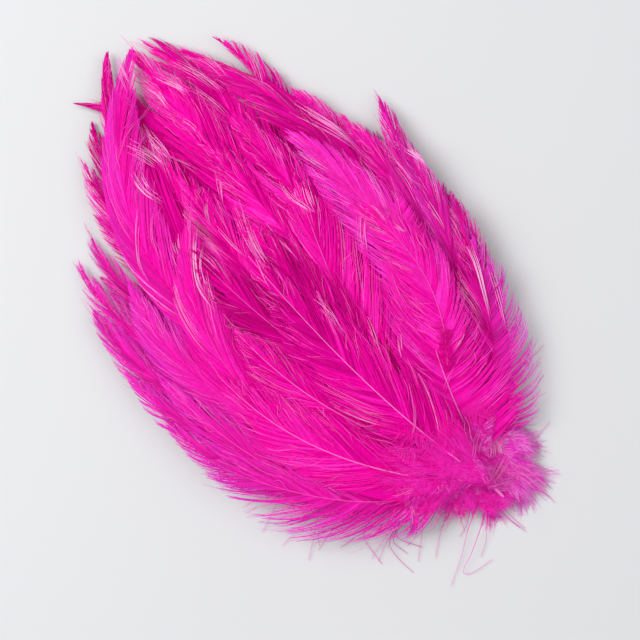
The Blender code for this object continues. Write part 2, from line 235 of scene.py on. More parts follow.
# Where each hackle lies: root, middle and tip of its shaft, width over both vanes, then what isn't plain on it
hacklePlan = {
    "crown_left_spike": ((6, 6), (3, 53), (-13.5, 83.5), 12, dict(
        shade=0.2, tip="spike", open=(0.15, 0.15), loose=0.4, seen=0.5, hairs=0.2)),
    "crown_right": ((9, 4), (19, 46), (13, 84), 17, dict(
        shade=0.45, tip="brush", open=(0.5, 0.5), loose=1.2, seen=0.4, gather=(0.4, 0.9))),
    "crown_inner_left": ((-10, 2), (-19, 43), (-13, 76), 14, dict(shade=0.3, open=(0.6, 0.3), seen=0.5)),
    "crown_outer_left": ((-12, -6), (-24.5, 33), (-21.5, 69), 12, dict(
        shade=0.35, tip="brush", open=(0.9, 0.6), loose=1.3, violet=0.15, seen=0.4, fray=0.4, hair=0.11,
        gather=(0.5, 0.95), web=0.25)),
    "crown_left_middle": ((-4, 0), (-8, 42), (-5, 75), 16, dict(
        open=(0.6, 0.6), loose=0.9, glints=((1, 0.45, 0.7), (-1, 0.5, 0.62)), seen=0.4)),
    "crown_curl": ((18, -6), (30.5, 40), (29, 72), 10, dict(
        shade=0.35, shaft=0.15, open=(0.9, 0.9), loose=1.4, reach=(0.3, 1.2), lean=(1, 0.7), seen=0.5,
        gather=(0.6, 0.95), web=0.15, hair=0.13)),
    "crown_middle": ((4, 0), (8, 43), (8.5, 85), 18, dict(
        tip="blade", loose=0.8, glints=((-1, 0.66, 0.84),), seen=0.4)),
    "shoulder_left_back": ((-14, -16), (-33, 18), (-33.5, 52), 12, dict(
        tip="brush", open=(0.95, 0.9), loose=1.4, violet=0.25, reach=(0.9, 0.7), seen=0.3, fray=0.5, hair=0.1,
        gather=(0.5, 0.95), web=0.2)),
    "shoulder_left_middle": ((-13, -24), (-38, 10), (-41.5, 47), 12, dict(
        tip="brush", open=(0.95, 0.9), loose=1.4, violet=0.25, seen=0.3, fray=0.5, hair=0.1,
        gather=(0.5, 0.95), web=0.2)),
    "shoulder_left_front": ((-14, -32), (-41, -2), (-46, 35.5), 13, dict(
        shade=0.35, violet=0.25, open=(0.5, 0.4), tip="blade", seen=0.3)),
    "shoulder_right_back": ((20, -16), (35, 15), (36, 48), 14, dict(shade=0.55, open=(0.3, 0.5), seen=0.35)),
    "shoulder_right_edge": ((20, -30), (39, -3), (42, 32), 13, dict(open=(0.3, 0.5), loose=0.8, seen=0.3)),
    "shoulder_right_tip": ((22, -38), (41, -5), (53.5, 29.5), 10, dict(
        shade=0.3, violet=0.15, open=(0.8, 0.2), loose=0.9, seen=0.3, reach=(1.3, 1))),
    "sweep_right": ((25, -8), (33.5, 31), (19, 76), 13, dict(
        shade=0.25, tip="blade", open=(0.2, 0.3), loose=0.6, seen=0.3, reach=(1.1, 0.45))),
    "sweep_left_inner": ((-13, 2), (-13, 54), (3.5, 88.5), 13, dict(
        shade=0.35, tip="knife", open=(0.3, 0.2), loose=0.5, seen=0.5)),
    "sweep_left_outer": ((-19, -8), (-23, 43), (9.5, 84.5), 17, dict(
        shade=0.6, violet=(0.25, 0.15), tip="blade", open=(0.25, 0.5), loose=0.6, hairs=0.6, seen=0.15,
        reach=(0.75, 1), gather=(0.3, 0.8), pale=0.12)),
    "middle_high": ((8, -30), (9, 15), (8, 54), 15, dict(tip="brush", open=(0.6, 0.6), seen=0.35)),
    "middle_left_high": ((-4, -28), (-6, 12), (-3, 48), 17, dict(
        tip="brush", open=(0.6, 0.6), glints=((-1, 0.55, 0.68),), seen=0.35)),
    "middle_right_high": ((14, -26), (18, 14), (18, 52), 15, dict(
        tip="brush", open=(0.6, 0.6), seen=0.35, reach=(1, 1.25))),
    "flank_left_tip": ((-8, -44), (-40, -17), (-50, 16), 12, dict(
        violet=0.3, open=(0.8, 0.4), seen=0.25, fray=0.4, gather=(0.4, 0.9), web=0.35)),
    "flank_right_back": ((21, -44), (41, -17), (50, 18), 11, dict(
        violet=0.22, shade=0.38, tip="blade", open=(0.4, 0.4), glints=((1, 0.6, 0.9),), seen=0.25)),
    "flank_left_low": ((-6, -52), (-38, -31), (-50, -1), 13, dict(
        violet=0.3, open=(0.8, 0.5), seen=0.25, fray=0.3, gather=(0.4, 0.9), web=0.35)),
    "flank_right_low": ((18, -52), (39, -31), (51.5, -4), 12, dict(
        violet=0.1, shade=0.3, open=(0.5, 0.9), glints=((-1, 0.5, 0.8),), seen=0.25, fray=0.5)),
    "inner_left_back": ((-10, -42), (-34, -4), (-33, 34), 16, dict(
        shade=0.64, violet=0.3, loose=0.6, seen=0.25)),
    "inner_right_front": ((20, -44), (31, -3), (27.5, 38), 17, dict(
        shade=0.85, violet=0.08, pale=0.12, shaft=0.4, loose=0.35, seen=0.25, reach=(1.25, 1), hairs=0.7)),
    "satin_left": ((-8, -48), (-27.5, -5), (-8, 37.5), 17, dict(
        shade=0.64, violet=0.08, shaft=0.35, loose=0.3, tip="blade", open=(0.15, 0.2), hairs=0.4,
        lean=(1, 1.5), seen=0.2)),
    "inner_middle": ((2, -40), (-9, -6), (-14, 30), 18, dict(
        shade=0.28, shaft=0.5, open=(0.5, 0.5), loose=0.8, seen=0.1, hairs=0.6)),
    "inner_right_long": ((4, -46), (8, -12), (21, 27), 23, dict(
        shade=0.55, shaft=0.6, open=(0.3, 0.35), loose=0.5, seen=0.1, reach=(1, 1.15))),
    "inner_centre": ((4, -44), (3, -8), (2, 27), 18, dict(
        shade=0.25, tip="brush", open=(0.6, 0.6), seen=0.2)),
    "edge_left_upper": ((1, -64), (-30.5, -41), (-43.5, 8), 17, dict(
        shade=0.58, shaft=0.5, violet=0.2, open=(0.7, 0.2), loose=0.6, fluff=200, fray=0.4, hair=0.17,
        bare=0.12, web=0.7)),
    "edge_left_lower": ((3, -68), (-25, -52), (-49, -17), 21, dict(
        shaft=0.5, violet=(0.35, 0.15), open=(0.95, 0.3), reach=(1.5, 1), flare=(-0.3, 0), lean=(1.03, 1),
        hair=0.17, loose=1.4, fluff=650, fray=0.4, gather=(0.5, 0.95), bare=0.08, web=0.25,
        fluffStyle=dict(angle=(0, 50), length=(5, 12), bend=18, curl=12, spread=4))),
    "edge_right": ((13, -65), (33.5, -44.5), (48, -13), 20, dict(
        shade=0.42, violet=(0, 0.42), open=(0.4, 0.75), reach=(1, 0.9), flare=(0, 0.65), lean=(1, 0.6),
        sweep=(0.15, 0.4), hair=0.19, loose=1.1, fluff=500, fray=0.35, gather=(0.4, 0.95), bare=0.08,
        pale=0.02, glints=((-1, 0.35, 0.6),),
        fluffStyle=dict(start=(-0.03, 0.16), angle=(20, 100), length=(4, 9), bend=30, spread=3.5))),
    "front_right": ((11, -70), (19, -38), (40, 6), 25, dict(
        shaft=0.9, open=(0.3, 0.4), lean=(0.9, 0.34), reach=(1, 1.1), flare=(0, 0.5), pale=0.03,
        sweep=(0.15, 0.75), violet=0.08, loose=0.6, fluff=700, bare=0.1, web=0.85,
        fluffStyle=dict(angle=(0, 40), length=(5, 12), bend=18, curl=12))),
    "front_left_inner": ((5, -60), (-12.5, -29), (-19, 6), 18, dict(
        shaft=0.9, open=(0.4, 0.4), loose=0.7, fluff=350, bare=0.08, web=0.7)),
    "front_left": ((6, -71), (-20.5, -38), (-30.5, -2), 21, dict(
        shaft=1.0, shade=0.56, loose=0.6, fluff=1100, bare=0.2, web=0.85,
        fluffStyle=dict(start=(-0.05, 0.24), angle=(2, 28), length=(6, 14), bend=14, curl=10, spread=4.5))),
    "front_middle": ((9, -75), (0, -32), (-3, 20), 23, dict(
        shaft=1.0, shade=0.42, open=(0.5, 0.5), lean=(0.8, 0.8), loose=0.8, fluff=1300, bare=0.13, web=0.75,
        fluffStyle=dict(start=(-0.03, 0.2), angle=(0, 45), length=(5, 12), bend=20, curl=14, spread=5))),
    "front_short": ((20, -40), (31, -17), (29.5, 10), 16, dict(
        shade=0.6, shaft=0.4, tip="brush", open=(0.3, 0.5), loose=0.5, fluff=200,
        fluffStyle=dict(length=(1, 3.5), angle=(0, 180), shade=0.3, pale=0, spread=1))),
}

# The hidden first course is a fan over the felt
underFan = {
    "count": 11, "degrees": 104.0, "root": (3.0, -34.0), "rootSpread": 16.0, "rootDrop": 6.0,
    "reachMiddle": 114.0, "reachSide": 62.0, "narrowing": 0.86, "shift": -3.0, "width": 22.0, "bow": 4.0,
    "style": dict(shade=0.4, seen=1.0, hairs=0, open=(0, 0), loose=0.5),
}

# Barbs, in mm. lean is how far a barb reaches forward, as a share of what is left of the shaft beyond its
# foot; ownLean and ownReach are how single barbs differ, arch how high they bow, stray how some come away;
# shining is the share of barbs in a shining clump painted pale as a highlight, and shine how pale
barbForm = {
    "spacing": 0.34, "coveredSpacing": 1.0, "last": 0.98, "stations": 8, "overlap": 1.8, "widest": 0.42,
    "ridge": 0.04, "leanAt": (0, 0.25, 0.7, 1), "lean": (0.08, 0.38, 0.68, 0.95), "ownLean": 0.025,
    "ownReach": (0.9, 1.05), "arch": 0.1, "endsEarly": (0.45, 0.95), "strayShare": 0.05, "strayAside": 3.0,
    "strayReach": (-0.4, 0.2), "strayLift": 0.8, "shining": 0.45, "shine": (0.2, 0.8),
}

# Barbs lie in clumps, and clumps in locks: how wide these are in mm, and how far each differs from the next
# in lean, reach, height and shade. The barbs at a clump's sides are shorter and lower than its middle, and
# darker as painted shade in the groove between clumps
lockForm = {"wide": (2.0, 6.0), "lean": 0.05, "reach": (0.93, 1.03), "lift": 0.1, "shade": 0.07}
clumpForm = {
    "wide": (0.35, 1.2), "lean": 0.035, "reach": 0.05, "shorter": 0.08, "wave": 0.2, "waves": 1.2, "rib": 0.1,
    "ribs": (0.3, 1.2), "shade": 0.12, "grooveShade": 0.14,
}
# How single barbs differ in shade, at least and by how loose the feather is, how dark their feet are, and how
# violet they are at foot and end, and more so at the pad's sides, from so many mm off its middle
barbTones = {
    "own": (0.06, 0.07), "feet": 0.06, "violet": (0.3, 1.3), "sides": 0.12, "sidesFrom": 18, "sidesOver": 34,
}
# Nothing lies lower than this over the floor, in mm
lowest = 0.12

# How vanes swell from the quill and narrow to the tip: the power of the narrowing, how many mm ragged, and
# the half width in mm that is kept until just before the tip
vaneForm = {
    "bare": 0.03, "swell": 0.22, "taper": 0.5, "ends": 0.12,
    "spike": (1.6, 0.2, 0.7), "knife": (1.9, 0.3, 1.7), "point": (0.85, 0.8, 0), "blade": (0.75, 0.3, 0.5),
    "brush": (0.75, 1.8, 0),
}


def addUnderFan():
    for i in range(underFan["count"]):
        share = 2 * i / (underFan["count"] - 1) - 1
        angle = math.radians(share * underFan["degrees"] / 2)
        side = abs(math.sin(angle))
        reach = underFan["reachMiddle"] + (underFan["reachSide"] - underFan["reachMiddle"]) * side
        root = (underFan["root"][0] + share * underFan["rootSpread"],
                underFan["root"][1] - underFan["rootDrop"] * abs(share))
        tip = (underFan["root"][0] + underFan["shift"] + reach * math.sin(angle) * underFan["narrowing"],
               underFan["root"][1] + reach * math.cos(angle))
        middle = ((root[0] + tip[0]) / 2 + underFan["bow"] * share, (root[1] + tip[1]) / 2)
        hacklePlan[f"under_{i + 1:02d}"] = (root, middle, tip, underFan["width"], underFan["style"])


def smooth(value):
    value = np.clip(value, 0, 1)
    return value * value * (3 - 2 * value)


def forwardLean(share):
    return np.interp(share, barbForm["leanAt"], barbForm["lean"])


# How closely a feather's heights are read: places along it and across it, and how near its ends and sides
reading = {"along": 29, "across": 9, "ends": 0.004, "sides": 0.97, "smoothings": 2}


# The lie of one feather: its shaft's curve in plan, and heights read off the frame's own solid
class Lie:
    def __init__(self, name, root, middle, tip, halfWidth):
        self.root, self.tip = np.array(root, float), np.array(tip, float)
        self.control = 2 * np.array(middle, float) - (self.root + self.tip) / 2
        self.halfWidth = halfWidth
        self.length = self.measure()
        self.shares = np.linspace(0, 1, reading["along"])
        self.lines = np.linspace(-1, 1, reading["across"])
        self.heights = self.readHeights(name)

    def measure(self):
        points = self.shaft(np.linspace(0, 1, 60))[0]
        return np.linalg.norm(np.diff(points, axis=0), axis=1).sum()

    def shaft(self, share):
        s = np.asarray(share, float)[..., None]
        here = (1 - s) ** 2 * self.root + 2 * s * (1 - s) * self.control + s ** 2 * self.tip
        forward = (1 - s) * (self.control - self.root) + s * (self.tip - self.control)
        forward = forward / np.linalg.norm(forward, axis=-1, keepdims=True)
        return here, forward

    def plan(self, share, off):
        here, forward = self.shaft(share)
        right = np.stack([forward[..., 1], -forward[..., 0]], -1)
        return here + right * np.asarray(off)[..., None]

    def readHeights(self, name):
        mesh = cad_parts[name].data
        tree = BVHTree.FromPolygons([v.co for v in mesh.vertices], [tuple(p.vertices) for p in mesh.polygons])
        found = np.full((len(self.shares), len(self.lines)), np.nan)
        for i, share in enumerate(self.shares):
            share = min(max(share, reading["ends"]), 1 - reading["ends"])
            for j, line in enumerate(self.lines):
                x, y = self.plan(share, line * reading["sides"] * self.halfWidth(share)) * mm
                top = tree.ray_cast(Vector((x, y, 1)), Vector((0, 0, -1)))[0]
                low = tree.ray_cast(Vector((x, y, -1)), Vector((0, 0, 1)))[0]
                if top is not None and low is not None:
                    found[i, j] = (top.z + low.z) / 2 / mm
        return self.fillIn(found)

    # Notches in the solid's edge leave holes in the reading: they take the value next to them
    def fillIn(self, found):
        middle = len(self.lines) // 2
        for side in (range(middle + 1, len(self.lines)), range(middle - 1, -1, -1)):
            for j in side:
                before = j - 1 if j > middle else j + 1
                missing = np.isnan(found[:, j])
                found[missing, j] = found[missing, before]
        known = ~np.isnan(found[:, middle])
        for j in range(len(self.lines)):
            column = np.where(np.isnan(found[:, j]), found[:, middle], found[:, j])
            found[:, j] = np.interp(self.shares, self.shares[known], column[known])
        for _ in range(reading["smoothings"]):
            found[1:-1] = 0.5 * found[1:-1] + 0.25 * (found[:-2] + found[2:])
        return found

    def height(self, share, off):
        share, off = np.asarray(share, float), np.asarray(off, float)
        line = off / np.maximum(self.halfWidth(share), 0.5)
        a = np.clip(share, 0, 1) * (len(self.shares) - 1)
        b = (np.clip(line, -1, 1) + 1) / 2 * (len(self.lines) - 1)
        i = np.minimum(a.astype(int), len(self.shares) - 2)
        j = np.minimum(b.astype(int), len(self.lines) - 2)
        a, b = a - i, b - j
        h = self.heights
        return ((1 - a) * (1 - b) * h[i, j] + a * (1 - b) * h[i + 1, j]
                + (1 - a) * b * h[i, j + 1] + a * b * h[i + 1, j + 1])


def hackleHalfWidth(width, power, kept):
    def halfWidth(share):
        share = np.asarray(share, float)
        swell = np.clip((share - vaneForm["bare"]) / vaneForm["swell"], 0, 1)
        past = np.clip((share - vaneForm["taper"]) / (1 - vaneForm["taper"]), 0, 1)
        end = kept * swell * np.clip((1 - share) / vaneForm["ends"], 0, 1) ** 0.6
        return np.maximum(np.maximum(0.1, end), width / 2 * swell ** 0.6 * (1 - past ** 2) ** power)
    return halfWidth


# Heights in mm of the pad's top, read off the frame from straight above, for what lies loose on it
topMap = {"x": (-62, 62), "y": (-98, 98), "rim": 2, "softening": 2}


def readTop():
    points, faces = [], []
    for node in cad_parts.values():
        first = len(points)
        faces += [tuple(first + i for i in polygon.vertices) for polygon in node.data.polygons]
        points += [vertex.co for vertex in node.data.vertices]
    tree = BVHTree.FromPolygons(points, faces)
    xs, ys = np.arange(topMap["x"][0], topMap["x"][1] + 1), np.arange(topMap["y"][0], topMap["y"][1] + 1)
    top = np.zeros((len(xs), len(ys)))
    for i, x in enumerate(xs):
        for j, y in enumerate(ys):
            hit = tree.ray_cast(Vector((x * mm, y * mm, 1)), Vector((0, 0, -1)))[0]
            if hit is not None:
                top[i, j] = hit.z / mm

    # Just past the rim the height stays that of the rim
    for _ in range(topMap["rim"]):
        beside = np.maximum.reduce([np.roll(top, step, axis) for step in (-1, 1) for axis in (0, 1)])
        top = np.where(top > 0, top, beside)
    for _ in range(topMap["softening"]):
        around = top[:-2, 1:-1] + top[2:, 1:-1] + top[1:-1, :-2] + top[1:-1, 2:]
        top[1:-1, 1:-1] = 0.5 * top[1:-1, 1:-1] + 0.125 * around
    return top


topHeights = readTop()


def topHeight(x, y):
    a, b = x - topMap["x"][0], y - topMap["y"][0]
    i = np.clip(a.astype(int), 0, topHeights.shape[0] - 2)
    j = np.clip(b.astype(int), 0, topHeights.shape[1] - 2)
    a, b = np.clip(a - i, 0, 1), np.clip(b - j, 0, 1)
    low = (1 - a) * topHeights[i, j] + a * topHeights[i + 1, j]
    high = (1 - a) * topHeights[i, j + 1] + a * topHeights[i + 1, j + 1]
    return (1 - b) * low + b * high


# Strands gather here as arrays until one mesh is made of them
class Strands:
    def __init__(self):
        self.points, self.faces, self.colours, self.count = [], [], [], 0

    # paths: strands x stations x 3, widths: strands x stations, colours: strands x stations x 4
    def addRidges(self, paths, widths, colours, ridge):
        n, k = paths.shape[:2]
        along = np.gradient(paths[..., :2], axis=1)
        along /= np.maximum(np.linalg.norm(along, axis=-1, keepdims=True), 1e-9)
        across = np.stack([along[..., 1], -along[..., 0], np.zeros((n, k))], -1) * widths[..., None] / 2
        drop = np.zeros((n, k, 3))
        drop[..., 2] = ridge * np.minimum(1, widths / widths.max())
        points = np.stack([paths - across - drop, paths + drop, paths + across - drop], 2)
        ids = np.arange(n * k * 3).reshape(n, k, 3) + self.count
        quads = np.stack([ids[:, :-1, :-1], ids[:, :-1, 1:], ids[:, 1:, 1:], ids[:, 1:, :-1]], -1)
        self.keep(points, quads[..., ::-1], np.repeat(colours[:, :, None], 3, 2))

    # A round tapering tube along one path
    def addTube(self, path, radii, colours, sides=6):
        k = len(path)
        along = np.gradient(path, axis=0)
        along /= np.linalg.norm(along, axis=1, keepdims=True)
        across = np.stack([along[:, 1], -along[:, 0], np.zeros(k)], 1)
        across /= np.maximum(np.linalg.norm(across, axis=1, keepdims=True), 1e-9)
        up = np.cross(across, along)
        angles = 2 * np.pi * np.arange(sides) / sides
        ring = (np.cos(angles)[None, :, None] * across[:, None] + np.sin(angles)[None, :, None] * up[:, None])
        points = path[:, None] + ring * radii[:, None, None]
        ids = np.arange(k * sides).reshape(k, sides) + self.count
        turned = np.roll(ids, -1, axis=1)
        quads = np.stack([ids[:-1], turned[:-1], turned[1:], ids[1:]], -1)
        self.keep(points, quads, np.repeat(colours[:, None], sides, 1))

    # A sheet given as a grid of points
    def addSheet(self, points, colours):
        ids = np.arange(points.shape[0] * points.shape[1]).reshape(points.shape[:2]) + self.count
        quads = np.stack([ids[:-1, :-1], ids[1:, :-1], ids[1:, 1:], ids[:-1, 1:]], -1)
        self.keep(points, quads, colours)

    def keep(self, points, quads, colours):
        self.points.append(points.reshape(-1, 3))
        self.faces.append(quads.reshape(-1, 4))
        self.colours.append(colours.reshape(-1, 4))
        self.count += self.points[-1].shape[0]

    def makePiece(self, name, material, node):
        points = np.concatenate(self.points) * mm
        faces = np.concatenate(self.faces)
        mesh = bpy.data.meshes.new(name)
        mesh.vertices.add(len(points))
        mesh.vertices.foreach_set("co", points.ravel())
        mesh.loops.add(faces.size)
        mesh.loops.foreach_set("vertex_index", faces.ravel())
        mesh.polygons.add(len(faces))
        mesh.polygons.foreach_set("loop_start", np.arange(0, faces.size, 4))
        mesh.polygons.foreach_set("loop_total", np.full(len(faces), 4))
        mesh.update(calc_edges=True)
        strand = mesh.color_attributes.new("strand", "FLOAT_COLOR", "POINT")
        strand.data.foreach_set("color", np.concatenate(self.colours).ravel())
        mesh.shade_smooth()
        mesh.materials.append(material)
        piece = addObject(name, mesh)
        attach(piece, "root")
        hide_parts(node)
        return piece


def strandColours(shape, shade, pale=0.0, violet=0.0):
    colours = np.ones((*shape, 4))
    colours[..., 0] = np.clip(shade, 0, 1)
    colours[..., 1] = np.clip(pale, 0, 1)
    colours[..., 2] = np.clip(violet, 0, 1)
    return colours


# Runs of barbs along a shaft that lie together, each low to high mm wide across its barbs
class Runs:
    def __init__(self, rng, lie, starts, low, high):
        edges = [starts[0]]
        while edges[-1] < starts[-1]:
            ahead = forwardLean(edges[-1]) * (1 - edges[-1])
            aside = max(float(lie.halfWidth(edges[-1] + ahead)), 1.0)
            slant = math.hypot(aside, ahead * lie.length) / aside
            edges.append(edges[-1] + rng.uniform(low, high) * slant / lie.length)
        edges = np.array(edges)
        self.count = len(edges) - 1
        self.which = np.clip(np.searchsorted(edges, starts, side="right") - 1, 0, self.count - 1)
        half = (edges[self.which + 1] - edges[self.which]) / 2
        self.centre = np.minimum(edges[self.which] + half, 0.985)
        self.within = np.clip((starts - self.centre) / half, -1, 1)

    def vary(self, rng, amount):
        return rng.normal(0, amount, self.count)[self.which]

    def between(self, rng, low, high):
        return rng.uniform(low, high, self.count)[self.which]


# Where barbs run, as shares along the shaft and distances off it, for every station u
def barbPath(lie, starts, lean, reach, sweep, u):
    end = starts + forwardLean(starts) * lean * (1 - starts)
    aside = lie.halfWidth(end) * reach
    share = starts[:, None] + (end - starts)[:, None] * u * (1 - sweep + sweep * u)
    off = aside[:, None] * (1 - (1 - u) ** 1.2)
    return share, off


# How far a feather's barbs reach on one side, further by its flare near the quill
def reachAlong(style, vane, starts):
    flare = style["flare"][vane] * (1 - smooth((starts - 0.1) / 0.45))
    return style["reach"][vane] * (1 + flare)


def violetOf(style, vane):
    return np.broadcast_to(style["violet"], 2)[vane]


def violetAlong(style, vane, u):
    atFoot, more = barbTones["violet"]
    return violetOf(style, vane) * (atFoot + more * u ** 2)


# Points in space from places in plan and heights, none below the lowest
def raisedTo(plan, z):
    return np.concatenate([plan, np.maximum(z, lowest)[..., None]], -1)


def addVane(strands, rng, lie, side, style):
    vane = 0 if side < 0 else 1
    opened, sweep, loose, fray = style["open"][vane], style["sweep"][vane], style["loose"], style["fray"]
    seen, fine, coarse = style["seen"], barbForm["spacing"], barbForm["coveredSpacing"]
    bare = max(style["bare"], vaneForm["bare"])
    starts = np.concatenate([np.arange(bare, seen, coarse / lie.length),
                             np.arange(max(bare, seen), barbForm["last"], fine / lie.length)])
    spacing = np.where(starts < seen, coarse, fine)[:, None]
    n, k = len(starts), barbForm["stations"]
    u = np.linspace(0, 1, k)[None, :]
    locks = Runs(rng, lie, starts, *lockForm["wide"])
    clumps = Runs(rng, lie, starts, *clumpForm["wide"])

    # A lock has its own lean and reach, a clump in it differs a little, and a barb in that hardly at all
    lean = 1 + locks.vary(rng, lockForm["lean"] * loose)
    lean = style["lean"][vane] * (lean + clumps.vary(rng, clumpForm["lean"] * loose))
    reach = locks.between(rng, *lockForm["reach"]) + clumps.vary(rng, clumpForm["reach"] * loose)
    reach = reachAlong(style, vane, starts) * reach
    ownReach = reach * (1 - clumpForm["shorter"] * clumps.within ** 2) * rng.uniform(*barbForm["ownReach"], n)
    reached = u * np.where(rng.random(n) < fray, rng.uniform(*barbForm["endsEarly"], n), 1)[:, None]
    ownLean = lean * rng.normal(1, barbForm["ownLean"], n)
    share, off = barbPath(lie, starts, ownLean, ownReach, sweep, reached)
    middleShare, middleOff = barbPath(lie, clumps.centre, lean, reach, sweep, reached)
    gather = (1 - 0.7 * fray) * clumps.between(rng, *style["gather"])[:, None]
    gather = gather * smooth((reached - 1 + opened) / max(opened, 0.25))
    share = share + (middleShare - share) * gather
    off = off + (middleOff - off) * gather

    # Ends are ragged, most of all round a brush-like tip
    ragged = vaneForm[style["tip"]][1] / lie.length
    share = share + clumps.vary(rng, ragged)[:, None] * smooth((share - 0.55) / 0.4) * u ** 2
    share = share + rng.normal(0, 0.3 * ragged, (n, 1)) * u ** 2
    wave = clumps.vary(rng, clumpForm["wave"] * loose)[:, None]
    turns = u * clumpForm["waves"] + clumps.between(rng, 0, 1)[:, None]
    off = off + wave * u * np.sin(2 * np.pi * turns)

    # A few barbs have come away from their locks
    stray = (rng.random(n) < barbForm["strayShare"] * loose)[:, None]
    share = share + stray * rng.normal(0, barbForm["strayAside"], (n, 1)) / lie.length * u ** 2
    off = off * (1 + stray * rng.uniform(*barbForm["strayReach"], (n, 1)) * u)

    plan = lie.plan(share, side * off)
    lift = locks.vary(rng, lockForm["lift"] * loose)[:, None] * smooth(u)
    lift = lift + barbForm["arch"] * np.sin(np.pi * u)
    rib = (clumps.between(rng, *clumpForm["ribs"]) * (1 - 2 * clumps.within ** 2))[:, None]
    lift = lift + clumpForm["rib"] * rib * smooth(u * 4)
    lift = lift + stray * rng.uniform(0, barbForm["strayLift"], (n, 1)) * np.sin(np.pi * u * 0.75)
    paths = raisedTo(plan, lie.height(share, side * off) + lift)

    # Barbs overlap where they are zipped together, and end as hairs
    # Shining clumps and the glint stretches get a painted highlight: their barbs are coloured pale
    shines = clumps.between(rng, 0, 1) < style["pale"]
    for glintSide, low, high in style["glints"]:
        if glintSide == side:
            shines = shines | ((starts > low) & (starts < high))
    shines = (shines & (rng.random(n) < barbForm["shining"]))[:, None]
    gap = spacing * np.sin(np.arctan2(np.gradient(off, axis=1), np.gradient(share, axis=1) * lie.length))
    hair = style["hair"]
    width = np.clip(gap * barbForm["overlap"], hair, np.where(spacing > fine, coarse, barbForm["widest"]))
    width = width + (hair - width) * smooth((u - 1 + opened) / max(opened, 0.2))
    width = width * (1 - 0.6 * u ** 6) * (1 - 0.45 * shines * smooth(u * 3 - 1))

    calm = 0.3 + 0.7 * loose
    ownShade = locks.vary(rng, lockForm["shade"]) + clumps.vary(rng, clumpForm["shade"])
    shade = style["shade"] + calm * ownShade
    least, more = barbTones["own"]
    # Painted shade: barbs at a clump's sides are coloured darker, in the groove between clumps
    shade = shade - clumpForm["grooveShade"] * calm * clumps.within ** 2 + rng.normal(0, least + more * calm, n)
    # Painted highlight, paler towards the shining barbs' ends
    pale = shines * rng.uniform(*barbForm["shine"], (n, 1)) * smooth((u - 0.3) * 2)
    sideways = smooth((np.abs(plan[..., 0]) - barbTones["sidesFrom"]) / barbTones["sidesOver"])
    violet = violetAlong(style, vane, u) + barbTones["sides"] * sideways
    shade = shade[:, None] - barbTones["feet"] * (1 - u)
    strands.addRidges(paths, width, strandColours((n, k), shade, pale, violet), barbForm["ridge"])


# Single barbs that have left their locks and lie across the rest, some painted lighter and paler as highlights
looseBarbs = {
    "perMm": 1.8, "stations": 8, "foot": (0.1, 0.75), "span": (0.25, 0.6), "leanSpread": 0.3,
    "reachSpread": 0.1, "lift": (0.1, 0.45), "wave": 0.3, "width": (0.09, 0.15), "brighter": (-0.25, 0.4),
    "pale": (-0.2, 0.32), "ridge": 0.03, "leanMost": 1.25,
}


# How far strands sway aside along their way t, each by its own amount and from its own start
def sway(rng, count, amount, bends, t):
    own = amount * rng.normal(0, 1, (count, 1))
    return own * np.sin(bends * t + rng.uniform(0, 6, (count, 1)))


def addLooseBarbs(strands, rng, lie, style):
    seen, t = style["seen"], np.linspace(0, 1, looseBarbs["stations"])[None, :]
    count = int(looseBarbs["perMm"] * lie.length * (1 - seen) * style["hairs"]) // 2
    if count == 0:
        return

    def spread(name):
        return rng.uniform(*looseBarbs[name], (count, 1))

    for vane, side in ((0, -1), (1, 1)):
        starts = rng.uniform(max(seen - 0.1, 0.06), 0.9, count)
        foot = spread("foot")
        u = foot + np.minimum(1.03 - foot, spread("span")) * t
        lean = np.minimum(rng.normal(1, looseBarbs["leanSpread"], count), looseBarbs["leanMost"])
        lean = np.minimum(lean * style["lean"][vane], 1.02 / forwardLean(starts))
        reach = reachAlong(style, vane, starts) * rng.normal(0.97, looseBarbs["reachSpread"], count)
        share, off = barbPath(lie, starts, lean, reach, style["sweep"][vane], np.minimum(u, 1))
        off = off + sway(rng, count, looseBarbs["wave"], 6, t)
        lift = spread("lift") * np.sin(np.pi * (0.15 + 0.75 * t)) + 0.08
        paths = raisedTo(lie.plan(share, side * off), lie.height(share, side * off) + lift)
        width = spread("width") * (1 - 0.6 * t ** 4)
        # Painted highlight: loose barbs are coloured lighter and paler by a random amount
        shade = style["shade"] + spread("brighter")
        pale = spread("pale") * smooth(t * 2)
        colours = strandColours(u.shape, shade, pale, violetAlong(style, vane, u))
        strands.addRidges(paths, width, colours, looseBarbs["ridge"])


# The barbules' web closes each vane close under its barbs, as far out as they are zipped together. It is
# coloured darker than the barbs, as painted shade between them
webForm = {
    "below": 0.16, "edgeDrop": 0.25, "start": 0.06, "end": 0.93, "brushEnd": 0.88, "downEnd": 0.75,
    "rows": 26, "lines": 9, "inside": 0.92, "lowest": 0.1,
}


def addWeb(strands, lie, style, end):
    closedLeft, closedRight = [max(1 - opened, style["web"]) for opened in style["open"]]
    across = np.linspace(-1, 1, webForm["lines"])
    shares, across = np.meshgrid(np.linspace(webForm["start"], end, webForm["rows"]), across, indexing="ij")
    lines = across * webForm["inside"] * np.where(across < 0, closedLeft, closedRight)
    off = lines * lie.halfWidth(shares) * smooth((end + 0.03 - shares) / 0.25)
    drop = webForm["below"] + webForm["edgeDrop"] * smooth((np.abs(across) - 0.6) / 0.4)
    z = np.maximum(lie.height(shares, off) - drop, webForm["lowest"])
    points = np.concatenate([lie.plan(shares, off), z[..., None]], -1)
    violet = 0.35 * (violetOf(style, 0) + violetOf(style, 1))
    # Painted shade: the web takes a darker colour than its feather's barbs
    strands.addSheet(points, strandColours(shares.shape, 0.85 * style["shade"], 0, violet))


# A bare quill comes out of the fluff, by so many mm over this share of its length
shaftForm = {"stations": 30, "end": 0.985, "lift": 1.3, "stretch": 0.2}


